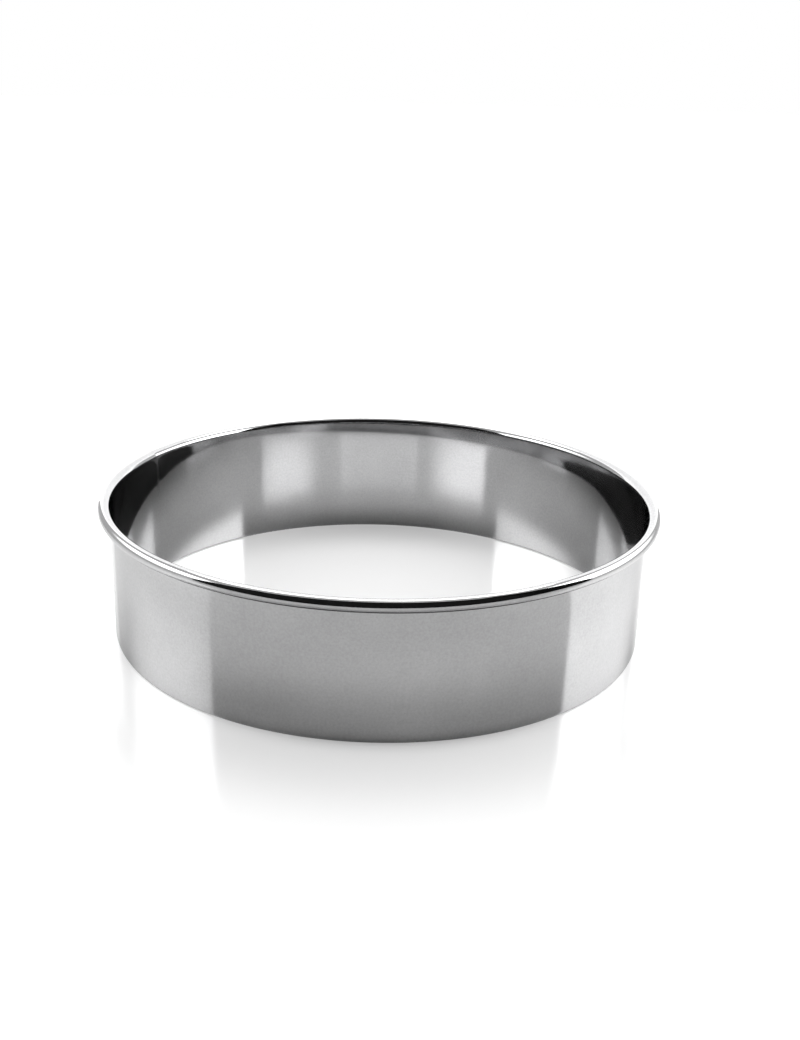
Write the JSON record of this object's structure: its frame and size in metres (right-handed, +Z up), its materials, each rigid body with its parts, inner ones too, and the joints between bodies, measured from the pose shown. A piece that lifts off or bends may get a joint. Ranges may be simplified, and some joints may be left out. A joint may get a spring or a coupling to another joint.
{
  "type": "pastry ring",
  "caption": "Round open pastry ring of polished stainless sheet with a plain base edge and a rim rolled outwards over a wire, for shaping cakes and tarts.",
  "frame": {"origin": "centre of the base circle, on the surface that the ring stands on", "axes": "+Z up along the ring's axis, -Y towards the viewer of the picture, +X to the viewer's right"},
  "size_m": [0.2078, 0.2078, 0.051],
  "materials": {
    "polished_sheet": "mirror-polished stainless steel",
    "plain_wire": "drawn stainless wire, unpolished",
    "ground_weld": "weld metal ground flush and polished"
  },
  "bodies": {
    "root": {"band": "polished_sheet", "rim_wire": "plain_wire", "seam_weld": "ground_weld", "rim_weld": "ground_weld"}
  },
  "joints": []
}
